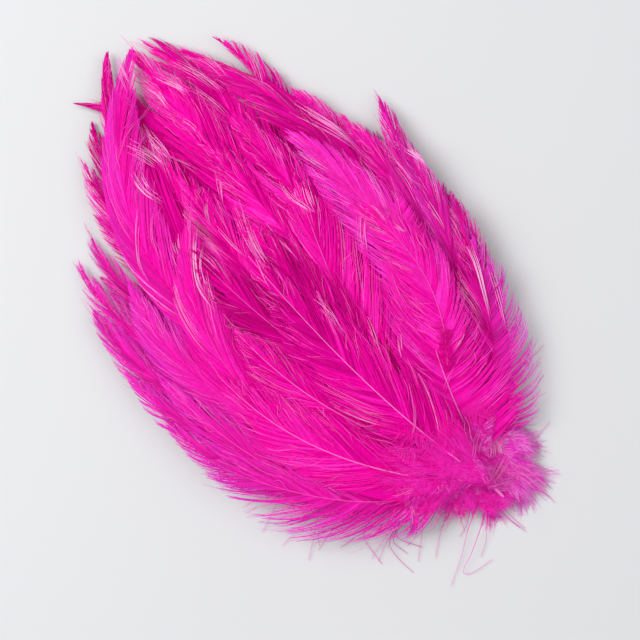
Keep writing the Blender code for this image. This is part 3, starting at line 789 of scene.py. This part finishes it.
def addShaft(strands, lie, shows, bare=0.0):
    share = np.linspace(bare, shaftForm["end"], shaftForm["stations"])
    z = lie.height(share, 0 * share) + 0.1 + 0.12 * shows
    if bare > 0:
        past = (share - bare) / shaftForm["stretch"]
        z = z + shaftForm["lift"] * (1 - smooth(past)) * smooth(past * 5)
    path = np.concatenate([lie.plan(share, 0 * share), z[:, None]], 1)
    radii = 0.18 + 0.08 * shows - (0.12 + 0.06 * shows) * share
    strands.addTube(path, radii, strandColours(share.shape, 0.5 + 0.4 * shows, 0.25 * shows))


# Downy wisps that curl away from a shaft, a lock of them at a time. start is the stretch of shaft they grow
# on. Angles and bends are in degrees, lengths in mm
rootFluff = {
    "start": (-0.03, 0.2), "spread": 2.5, "angle": (20, 150), "length": (3, 8), "bend": 50, "curl": 30,
    "rise": 0.8, "lift": 0.6, "width": 0.12, "perLock": 9, "fray": 6, "shade": 0.68, "pale": 0.01,
    "violet": -0.25,
}
# The down is coloured light and pale: partly its own colour, partly painted light that brightens its slope,
# which faces away from the key light
downFluff = {
    "start": (0.0, 0.7), "spread": 3.5, "angle": (0, 40), "length": (6, 12), "bend": 26, "curl": 12,
    "rise": 1.2, "lift": 0.15, "width": 0.16, "perLock": 14, "fray": 5, "shade": 0.95, "pale": 0.6,
    "violet": 0.1,
}
wispForm = {
    "stations": 7, "ridge": 0.03, "scatter": 0.35, "patchy": 0.22, "violetFrom": (1.0, -68.0),
    "violetStart": 9.0, "violetStretch": 12.0,
}


def addWisps(strands, rng, lie, size, count):
    k = wispForm["stations"]
    u = np.linspace(0, 1, k)[None, :]
    locks = count // size["perLock"]
    which = rng.integers(0, locks, count)

    def ofLock(low, high):
        return rng.uniform(low, high, locks)[which][:, None]

    share = np.clip(ofLock(*size["start"])[:, 0] + rng.normal(0, 0.02, count), 0, 1)
    here, forward = lie.shaft(share)
    here = here + np.stack([forward[:, 1], -forward[:, 0]], -1) * size["spread"] * ofLock(-1, 1)
    here = here + rng.normal(0, wispForm["scatter"], (count, 2))
    side = np.where(ofLock(-1, 1) < 0, -1, 1)
    aside = np.radians(ofLock(*size["angle"]) + rng.normal(0, size["fray"], (count, 1)))
    heading = np.arctan2(forward[:, 1:], forward[:, :1]) + side * aside
    bend = np.radians(size["bend"] * ofLock(-1, 1) + rng.normal(0, size["fray"], (count, 1)))
    swing = np.sin(2 * np.pi * (u * ofLock(0.5, 1.5) + ofLock(0, 1)))
    heading = heading + bend * u + np.radians(size["curl"]) * ofLock(0.2, 1) * swing
    length = ofLock(*size["length"]) * rng.uniform(0.5, 1.1, (count, 1))
    step = length / (k - 1) * (u > 0)
    x = here[:, :1] + np.cumsum(step * np.cos(heading), 1)
    y = here[:, 1:] + np.cumsum(step * np.sin(heading), 1)
    rise = size["rise"] * rng.uniform(0.05, 1, (count, 1)) * np.sin(np.pi * u ** 0.7)
    z = topHeight(x, y) + size["lift"] * (1 - 0.7 * u) + rise
    fromX, fromY = wispForm["violetFrom"]
    away = smooth((np.hypot(x - fromX, y - fromY) - wispForm["violetStart"]) / wispForm["violetStretch"])
    width = size["width"] * rng.uniform(0.6, 1.3, (count, 1)) * (1 - 0.65 * u ** 2)
    shade = size["shade"] + wispForm["patchy"] * ofLock(-1, 1) + rng.normal(0, 0.08, (count, 1))
    pale = (ofLock(0, 1) < size["pale"]) * rng.uniform(0.05, 0.55, (count, 1)) * smooth(u * 2)
    colours = strandColours((count, k), shade, pale, 0.03 + (size["violet"] + 0.25) * away)
    strands.addRidges(raisedTo(np.stack([x, y], -1), z), width, colours, wispForm["ridge"])


# Frayed tufts that catch the light, painted pale and light as highlights, on the feather they belong to:
# route in plan, number of hairs, how far they spread at foot and end, and how pale
paleTufts = {
    "crown_middle": [
        (((0.8, 74), (2.3, 80), (4.2, 86)), 12, (1.3, 0.8), 1.0),
        (((6.6, 64), (6.6, 69), (6, 73)), 6, (0.6, 0.8), 0.9),
        (((7, 49), (7.4, 56), (5.5, 61)), 5, (1.0, 1.4), 0.4),
    ],
    "crown_right": [
        (((14, 63), (12, 69), (9.5, 75)), 12, (1.0, 1.8), 0.8),
        (((18, 52), (17, 60), (13.5, 68)), 7, (0.8, 1.0), 0.6),
        (((21, 58), (19, 67), (15, 77)), 10, (0.8, 1.4), 0.7),
        (((24, 60), (23.5, 66), (21.5, 73)), 8, (0.8, 1.6), 0.6),
    ],
    "crown_curl": [(((30.5, 52), (33, 58), (34.5, 65)), 8, (0.4, 1.6), 0.6)],
    "shoulder_right_edge": [(((42.5, -2), (45, 8), (44.5, 21)), 7, (0.6, 1.2), 0.6)],
    "crown_left_middle": [
        (((-5.5, 52), (-7, 58), (-10, 65)), 14, (1.2, 1.8), 0.9),
        (((-2.6, 52), (-2.6, 58), (-3.2, 64)), 9, (0.5, 1.4), 0.9),
    ],
    "crown_inner_left": [(((-11.8, 45), (-13, 51), (-12, 57)), 14, (0.5, 1.8), 0.95)],
    "sweep_left_outer": [
        (((-29, 29), (-27.5, 36), (-22.5, 43), (-16, 49)), 4, (0.4, 1.0), 0.5),
        (((-23, 32), (-20, 40), (-13, 47.5)), 3, (0.4, 0.9), 0.4),
        (((-18, 60), (-8, 66), (1, 68), (6.8, 69.5)), 4, (0.8, 0.3), 0.3),
        (((-13, 58), (-8, 61), (-2, 63.8)), 4, (0.6, 0.8), 0.4),
    ],
    "satin_left": [
        (((-20, 11), (-19, 20), (-15, 27), (-8.5, 34.5)), 10, (0.3, 0.7), 0.95),
        (((-18.6, 18), (-14.5, 25), (-9, 30.5)), 5, (0.3, 0.4), 0.8),
    ],
    "inner_left_back": [(((-18, 29), (-16.5, 33), (-13.5, 37.5)), 5, (0.4, 0.9), 0.8)],
    "inner_middle": [
        (((-19.6, 11), (-17.6, 17), (-14.5, 23)), 5, (0.4, 0.7), 0.6),
        (((-12.4, 20), (-12.1, 24.5), (-13, 29)), 5, (0.3, 0.8), 0.9),
        (((-9, 20), (-9, 26), (-10, 31)), 4, (0.3, 0.8), 0.5),
    ],
    "middle_left_high": [
        (((-6.5, 30), (-4.5, 35.5), (0.5, 41)), 5, (0.3, 0.8), 0.6),
        (((-3.6, 16), (-4.8, 24), (-5.2, 32)), 3, (0.2, 0.6), 0.5),
        (((0, 33), (3, 38), (6, 43)), 5, (0.3, 0.8), 0.8),
    ],
    "inner_centre": [
        (((-0.8, 11), (-0.6, 17), (1.2, 24), (4.5, 33)), 14, (0.6, 2.2), 0.6),
        (((-4.5, 6), (-3, 12), (-1.5, 17)), 4, (0.3, 0.7), 0.4),
    ],
    "inner_right_long": [
        (((19, 15), (17.6, 19), (16.4, 24), (17.4, 30)), 6, (0.4, 0.6), 0.9),
        (((19, 15), (20, 19.5), (22.8, 26)), 6, (0.4, 0.8), 0.8),
        (((7, 8), (6.8, 15), (7.3, 24)), 3, (0.2, 0.5), 0.5),
        (((22, -2), (25, 3), (29, 8)), 8, (1.2, 1.6), 0.5),
    ],
    "middle_right_high": [
        (((24.6, 25), (24.8, 31), (24.2, 40)), 4, (0.2, 0.7), 0.8),
        (((20.5, 29), (22, 35), (23.6, 41)), 5, (0.5, 0.9), 0.5),
    ],
    "sweep_right": [(((40.3, 17), (38.6, 27), (36, 35), (33, 43)), 16, (0.8, 2.0), 0.7)],
    "front_short": [(((13, -46), (18, -43.2), (23.5, -41)), 2, (0.3, 0.3), 0.3)],
    "front_right": [
        (((33.2, 1), (34, -2), (35, -4.5)), 3, (0.2, 0.3), 0.8),
        (((11.6, -31), (13.4, -27.5), (17, -23)), 4, (0.3, 0.6), 0.6),
    ],
    "front_middle": [
        (((3.2, -15), (4, -9), (3, -2)), 7, (0.4, 1.2), 0.5),
        (((-2, -50), (4, -45), (9, -36)), 4, (0.3, 1.0), 0.3),
    ],
    "flank_right_low": [
        (((36, -41.5), (40, -33), (44, -24), (46.3, -17)), 14, (0.5, 0.8), 1.0),
        (((39, -44), (43.5, -35), (48, -24)), 8, (0.5, 0.9), 0.6),
        (((43.6, -12), (44.6, -6), (45, -1)), 6, (0.4, 0.5), 0.8),
    ],
    "flank_right_back": [(((50, 3), (51.2, 8), (50, 13), (48.6, 18)), 14, (0.4, 0.8), 1.0)],
    "edge_right": [
        (((9, -65.5), (16, -62.8), (24, -60.5), (32, -59)), 30, (1.6, 3.0), 0.22),
        (((9, -69), (17, -67), (26, -66)), 26, (1.6, 2.2), 0.22),
    ],
    "down_right": [
        (((14, -70), (16.2, -66.5), (17.4, -62.5)), 34, (2.2, 1.0), 0.6),
        (((8, -66), (13, -62), (18, -60)), 12, (0.8, 1.6), 0.25),
    ],
    "down_back_right": [
        (((5, -71), (11, -72.5), (19, -69)), 16, (0.8, 1.8), 0.35),
        (((6, -73), (11, -76.5), (16, -80)), 18, (0.8, 2.2), 0.3),
        (((12, -72), (17, -77), (18, -86)), 18, (1.5, 1.8), 0.3),
    ],
}
tuftForm = {
    "stations": 10, "starts": (0, 0.4), "ends": (0.6, 1), "width": (0.09, 0.17), "ridge": 0.04,
    "lift": (0.15, 0.5), "downLift": 1.4, "shade": 0.8, "sway": 0.3, "paleness": (0.3, 1.05),
}


def addTufts(strands, rng, name, extraLift=0.0):
    u = np.linspace(0, 1, tuftForm["stations"])[None, :]
    for points, count, (atFoot, atEnd), pale in paleTufts.get(name, ()):
        start, end = rng.uniform(*tuftForm["starts"], (count, 1)), rng.uniform(*tuftForm["ends"], (count, 1))
        t = start + (end - start) * u
        middle = curveThrough(points, t)
        along = np.gradient(middle, axis=1)
        along /= np.linalg.norm(along, axis=2, keepdims=True)
        across = np.stack([along[..., 1], -along[..., 0]], -1)
        aside = rng.uniform(-1.1, 1.1, (count, 1)) * (atFoot + (atEnd - atFoot) * t)
        aside = aside + sway(rng, count, tuftForm["sway"], 3, t)
        plan = middle + across * aside[..., None]
        lift = (extraLift + rng.uniform(*tuftForm["lift"], (count, 1))) * np.sin(np.pi * (0.1 + 0.8 * u))
        z = topHeight(plan[..., 0], plan[..., 1]) + lift
        width = rng.uniform(*tuftForm["width"], (count, 1)) * (1 - 0.6 * u ** 3)
        # Painted highlight: the tufts are coloured light and pale
        shines = pale * rng.uniform(*tuftForm["paleness"], (count, 1)) * smooth(u * 3)
        colours = strandColours(z.shape, tuftForm["shade"], shines, 0.1)
        strands.addRidges(raisedTo(plan, z), width, colours, tuftForm["ridge"])


# Single hairs astray, each from the feather it belongs to: points in plan, then how pale
strayHairs = {
    "edge_left_upper": [
        (((-30, -47), (-36, -48.8), (-42, -49.3), (-48, -50)), 0.6),
        (((-36, -37), (-43, -40.5), (-50, -43.5)), 0.4),
    ],
    "edge_left_lower": [
        (((-33, -48), (-38, -52.5), (-45, -58)), 0.5),
        (((-24, -52), (-33, -53.2), (-38, -54), (-40, -56.8)), 0.3),
        (((-20, -57), (-30, -56), (-35, -55.8), (-41, -57.5)), 0.25),
        (((-20, -64), (-26, -62.2), (-31, -61.3), (-36, -61)), 0.3),
        (((-22, -60), (-27, -61), (-29.2, -64.5), (-29.8, -72)), 0.1),
        (((-14, -65), (-22, -66.3), (-27, -67.6), (-31, -69)), 0.5),
        (((-14, -66), (-21, -66.8), (-26, -68.6), (-30, -70.8)), 0.4),
    ],
    "down_left": [
        (((-20, -66), (-24.5, -69), (-25.2, -74), (-24.5, -79.5)), 0.1),
        (((-18, -66), (-23, -69), (-22.4, -74.5)), 0.05),
        (((-16, -66), (-21.5, -68.5), (-19, -74), (-18, -75.5)), 0.05),
        (((-4, -66), (-12, -69.5), (-16.5, -73.5), (-21.5, -78)), 0.4),
        (((-4, -68), (-10, -70.8), (-15, -72), (-21, -72.6)), 0.1),
    ],
    "down_back_left": [
        (((-3, -70), (-8, -73.6), (-12, -76.2), (-17, -80.3)), 0.3),
        (((2, -76), (-5, -80), (-11, -84.6), (-18.8, -89.3)), 0.5),
        (((4, -78), (-3, -82.5), (-9, -86), (-12.8, -87.6), (-13.5, -89.2), (-11, -90.4), (-5, -90.9)), 0.55),
        (((4, -79), (0, -82.5), (-3, -85.7), (-7, -88.3)), 0.4),
        (((0, -75), (-4, -78.5), (-8, -80.2)), 0.2),
    ],
    "down_back": [
        (((6, -80), (6, -85), (7.3, -91)), 0.2),
        (((6.5, -79), (6.8, -84), (7.6, -90)), 0.2),
        (((5.5, -79), (5.6, -84), (6.6, -89)), 0.1),
    ],
    "down_back_right": [
        (((16, -82), (18.2, -86), (18.8, -90)), 0.3),
        (((18, -78), (22, -80), (24, -82.6)), 0.2),
    ],
    "down_right": [
        (((16, -67), (22, -71), (26.5, -72.4), (32.5, -71.4)), 0.5),
        (((15, -64), (21, -67.5), (26, -69)), 0.2),
    ],
    "edge_right": [
        (((28, -54), (36, -54.5), (45, -53.8)), 0.15),
        (((28, -52), (36, -52.5), (43.5, -50.3)), 0.15),
        (((28, -57), (35, -58), (41, -56.6)), 0.1),
        (((26, -60), (33, -61.8), (39.5, -60.2)), 0.1),
    ],
}
strayForm = {
    "stations": 18, "width": 0.24, "ridge": 0.06, "startHeight": 2.6, "endHeight": 0.5, "shade": 0.3,
    "paleness": 0.5, "violet": 0.5,
}


# A smooth curve through given points, at shares t of its way
def curveThrough(points, t):
    p = np.array(points, float)
    p = np.concatenate([[2 * p[0] - p[1]], p, [2 * p[-1] - p[-2]]])
    t = np.asarray(t) * (len(points) - 1)
    i = np.minimum(t.astype(int), len(points) - 2)
    t = (t - i)[..., None]
    a, b, c, d = p[i], p[i + 1], p[i + 2], p[i + 3]
    bent = 2 * b + (c - a) * t + (2 * a - 5 * b + 4 * c - d) * t ** 2
    return 0.5 * (bent + (3 * b - 3 * c + d - a) * t ** 3)


def addStrayHairs(strands, name):
    u = np.linspace(0, 1, strayForm["stations"])
    for points, pale in strayHairs.get(name, ()):
        plan = curveThrough(points, u)
        z = strayForm["endHeight"] + (strayForm["startHeight"] - strayForm["endHeight"]) * (1 - u) ** 1.5
        path = np.concatenate([plan, z[:, None]], 1)[None]
        width = (strayForm["width"] * (1 - 0.5 * u))[None]
        pale = strayForm["paleness"] * pale * smooth(u * 2)
        colours = strandColours((1, len(u)), strayForm["shade"], pale, strayForm["violet"])
        strands.addRidges(path, width, colours, strayForm["ridge"])


def makeHackles():
    for index, (name, (root, middle, tip, width, ownStyle)) in enumerate(hacklePlan.items()):
        rng = np.random.default_rng(100 + index)
        style = dict(plainHackle, **ownStyle)
        power, _, kept = vaneForm[style["tip"]]
        lie = Lie(name, root, middle, tip, hackleHalfWidth(width, power, kept))
        strands = Strands()
        for side in (-1, 1):
            addVane(strands, rng, lie, side, style)
        addLooseBarbs(strands, rng, lie, style)
        addWeb(strands, lie, style, webForm["brushEnd" if style["tip"] == "brush" else "end"])
        addShaft(strands, lie, style["shaft"], style["bare"])
        if style["fluff"] > 0:
            addWisps(strands, rng, lie, dict(rootFluff, **style["fluffStyle"]), style["fluff"])
        addTufts(strands, rng, name)
        addStrayHairs(strands, name)
        strands.makePiece(f"hackle_{name}", materials["hackle"], name)
    print("hackles made:", len(hacklePlan))


addUnderFan()
makeHackles()


# Downy feathers round the quill end: root, middle, tip, width in mm, number of wisps and what sets them
# apart. cushion is how much of the feather's width is closed under its wisps
downPlan = {
    "down_back_right": ((10, -64), (14.5, -74), (17, -86), 13, 1500, dict(cushion=0.6)),
    "down_back": ((6, -64), (6, -73), (7, -83), 12, 1700, dict(
        start=(0.1, 0.85), length=(3, 7), violet=-0.1, pale=0.08, angle=(0, 75), spread=5, width=0.12,
        shade=0.78, cushion=0.8)),
    "down_right": ((12, -60), (18, -67), (21, -77), 11, 1200, dict(length=(5, 10), cushion=0.6)),
    "down_back_left": ((3, -63), (-2, -71), (-6, -80), 11, 1300, dict(
        start=(0, 0.6), length=(3, 7), violet=-0.1, pale=0.08, angle=(0, 60), spread=4.5, width=0.11,
        shade=0.78, cushion=0.4)),
    "down_left": ((-1, -60), (-12, -64), (-23, -68), 10, 420, dict(
        length=(4, 8), violet=0, pale=0.2, angle=(0, 40), shade=0.8, cushion=0.35)),
}
# The end of the longest quill stands out of the down
quillStub = {
    "feather": "down_back", "route": ((8.4, -75.6), (8.5, -77.2), (8.7, -78.9)), "radius": 0.45, "lift": 0.6,
    "sides": 8, "taper": (1, 1, 1, 1, 1, 1, 0.9, 0.5),
}


def downHalfWidth(width):
    def halfWidth(share):
        share = np.clip(np.asarray(share, float), 0, 1)
        return np.maximum(0.5, width / 2 * np.maximum(0, np.sin(np.pi * (0.08 + 0.92 * share) ** 0.9)) ** 0.6)
    return halfWidth


def addQuillStub(strands):
    radii = quillStub["radius"] * np.array(quillStub["taper"])
    path = curveThrough(quillStub["route"], np.linspace(0, 1, len(radii)))
    z = topHeight(path[:, 0], path[:, 1]).max() + quillStub["lift"] + 0 * path[:, 0]
    colours = strandColours(radii.shape, 0.8, 0.3)
    strands.addTube(np.concatenate([path, z[:, None]], 1), radii, colours, quillStub["sides"])


def makeDown():
    for index, (name, (root, middle, tip, width, wisps, style)) in enumerate(downPlan.items()):
        rng = np.random.default_rng(300 + index)
        lie = Lie(name, root, middle, tip, downHalfWidth(width))
        strands = Strands()
        addWisps(strands, rng, lie, dict(downFluff, **style), wisps)
        opened = 1 - style["cushion"]
        cushion = dict(shade=0.7, violet=style.get("violet", 0.2), open=(opened, opened), web=0)
        addWeb(strands, lie, cushion, webForm["downEnd"])
        addShaft(strands, lie, 0.0)
        addTufts(strands, rng, name, tuftForm["downLift"])
        addStrayHairs(strands, name)
        if name == quillStub["feather"]:
            addQuillStub(strands)
        strands.makePiece(f"fluff_{name}", materials["down"], name)
    print("down made:", len(downPlan))


makeDown()


# Felt teardrop, cut from a flat sheet: sizes in mm
feltForm = {
    "length": 104.0, "width": 50.0, "thickness": 1.5, "middle": (2.0, -27.0), "lean": 0.1,
    "pointedness": 0.32, "round": 144, "rings": 16, "unevenness": 0.05, "edgeFibres": 900,
    "fibreLength": (0.6, 2.2), "fibreWidth": 0.05, "fibreHeight": (0.1, 1.4), "fibreTurn": 0.9,
    "fibreBend": 0.6, "fibreRidge": 0.01, "flatTo": 0.985, "rimSteps": 7,
}


def feltOutline(angle, inward):
    across = feltForm["width"] / 2 * np.cos(angle) * (1 + feltForm["pointedness"] * np.sin(angle)) * inward
    along = feltForm["length"] / 2 * np.sin(angle) * inward
    return feltForm["middle"][0] - feltForm["lean"] * along + across, feltForm["middle"][1] + along


def makeFelt():
    rng = np.random.default_rng(7)
    strands = Strands()
    angle = np.linspace(0, 2 * np.pi, feltForm["round"] + 1)
    half, flatTo = feltForm["thickness"] / 2, feltForm["flatTo"]
    inward = np.linspace(0.02, flatTo, feltForm["rings"])
    rim = np.radians(np.linspace(-90, 90, feltForm["rimSteps"])[1:-1])
    rings = [(share, half) for share in inward]
    rings += [(flatTo + (1 - flatTo) * math.cos(turn), -half * math.sin(turn)) for turn in rim]
    rings += [(share, -half) for share in inward[::-1]]
    bumps = rng.normal(0, feltForm["unevenness"], (len(rings), len(angle)))
    bumps[:, -1] = bumps[:, 0]
    points = np.zeros((len(rings), len(angle), 3))
    for i, (share, height) in enumerate(rings):
        points[i, :, 0], points[i, :, 1] = feltOutline(angle, share)
        points[i, :, 2] = half + height + bumps[i] * (1 if height > 0 else 0)
    strands.addSheet(points[:, ::-1], strandColours(points.shape[:2], 0.4))

    # Loose fibres round the cut edge
    count = feltForm["edgeFibres"]
    u = np.linspace(0, 1, 4)[None, :]
    where = rng.uniform(0, 2 * np.pi, (count, 1))
    x, y = feltOutline(where, 0.99)
    heading = where + rng.normal(0, feltForm["fibreTurn"], (count, 1))
    heading = heading + rng.normal(0, feltForm["fibreBend"], (count, 1)) * u
    reach = rng.uniform(*feltForm["fibreLength"], (count, 1)) * u
    z = rng.uniform(*feltForm["fibreHeight"], (count, 1)) + 0 * u
    paths = np.stack([x + reach * np.cos(heading), y + reach * np.sin(heading), z], -1)
    widths = np.full(z.shape, feltForm["fibreWidth"])
    strands.addRidges(paths, widths, strandColours(z.shape, 0.5), feltForm["fibreRidge"])
    felt = strands.makePiece("felt_teardrop", materials["felt"], "felt_backing")
    print("felt made")


makeFelt()


# Pale floor, and soft light from beyond the tips
stageSetup = {
    "floorSize": 3.0, "floorColour": (0.56, 0.56, 0.57),
    "key": {"place": (-0.35, 0.60, 0.75), "size": 0.7, "watts": 12.0},
    "fill": {"place": (0.35, -0.45, 0.9), "size": 1.2, "watts": 5.5},
    "sky": (0.95, 0.97, 1.0), "skyStrength": 0.42,
}


def makeStage():
    bpy.ops.mesh.primitive_plane_add(size=stageSetup["floorSize"])
    floor = bpy.context.object
    floor.name = "floor"
    material, tree, shader = newMaterial("floor")
    setInputs(tree, shader, {"Base Color": stageSetup["floorColour"], "Roughness": 0.9})
    floor.data.materials.append(material)
    for name in ("key", "fill"):
        setup = stageSetup[name]
        data = bpy.data.lights.new(name, "AREA")
        data.energy = setup["watts"]
        data.size = setup["size"]
        light = addObject(name, data)
        light.location = setup["place"]
        light.rotation_euler = (-Vector(setup["place"])).to_track_quat("-Z", "Y").to_euler()
    world = bpy.data.worlds.new("studio")
    world.use_nodes = True
    tree = world.node_tree
    sky = {"Color": stageSetup["sky"], "Strength": stageSetup["skyStrength"]}
    setInputs(tree, tree.nodes["Background"], sky)
    bpy.context.scene.world = world
    bpy.context.scene.view_settings.view_transform = "Standard"


makeStage()
print("stage made")
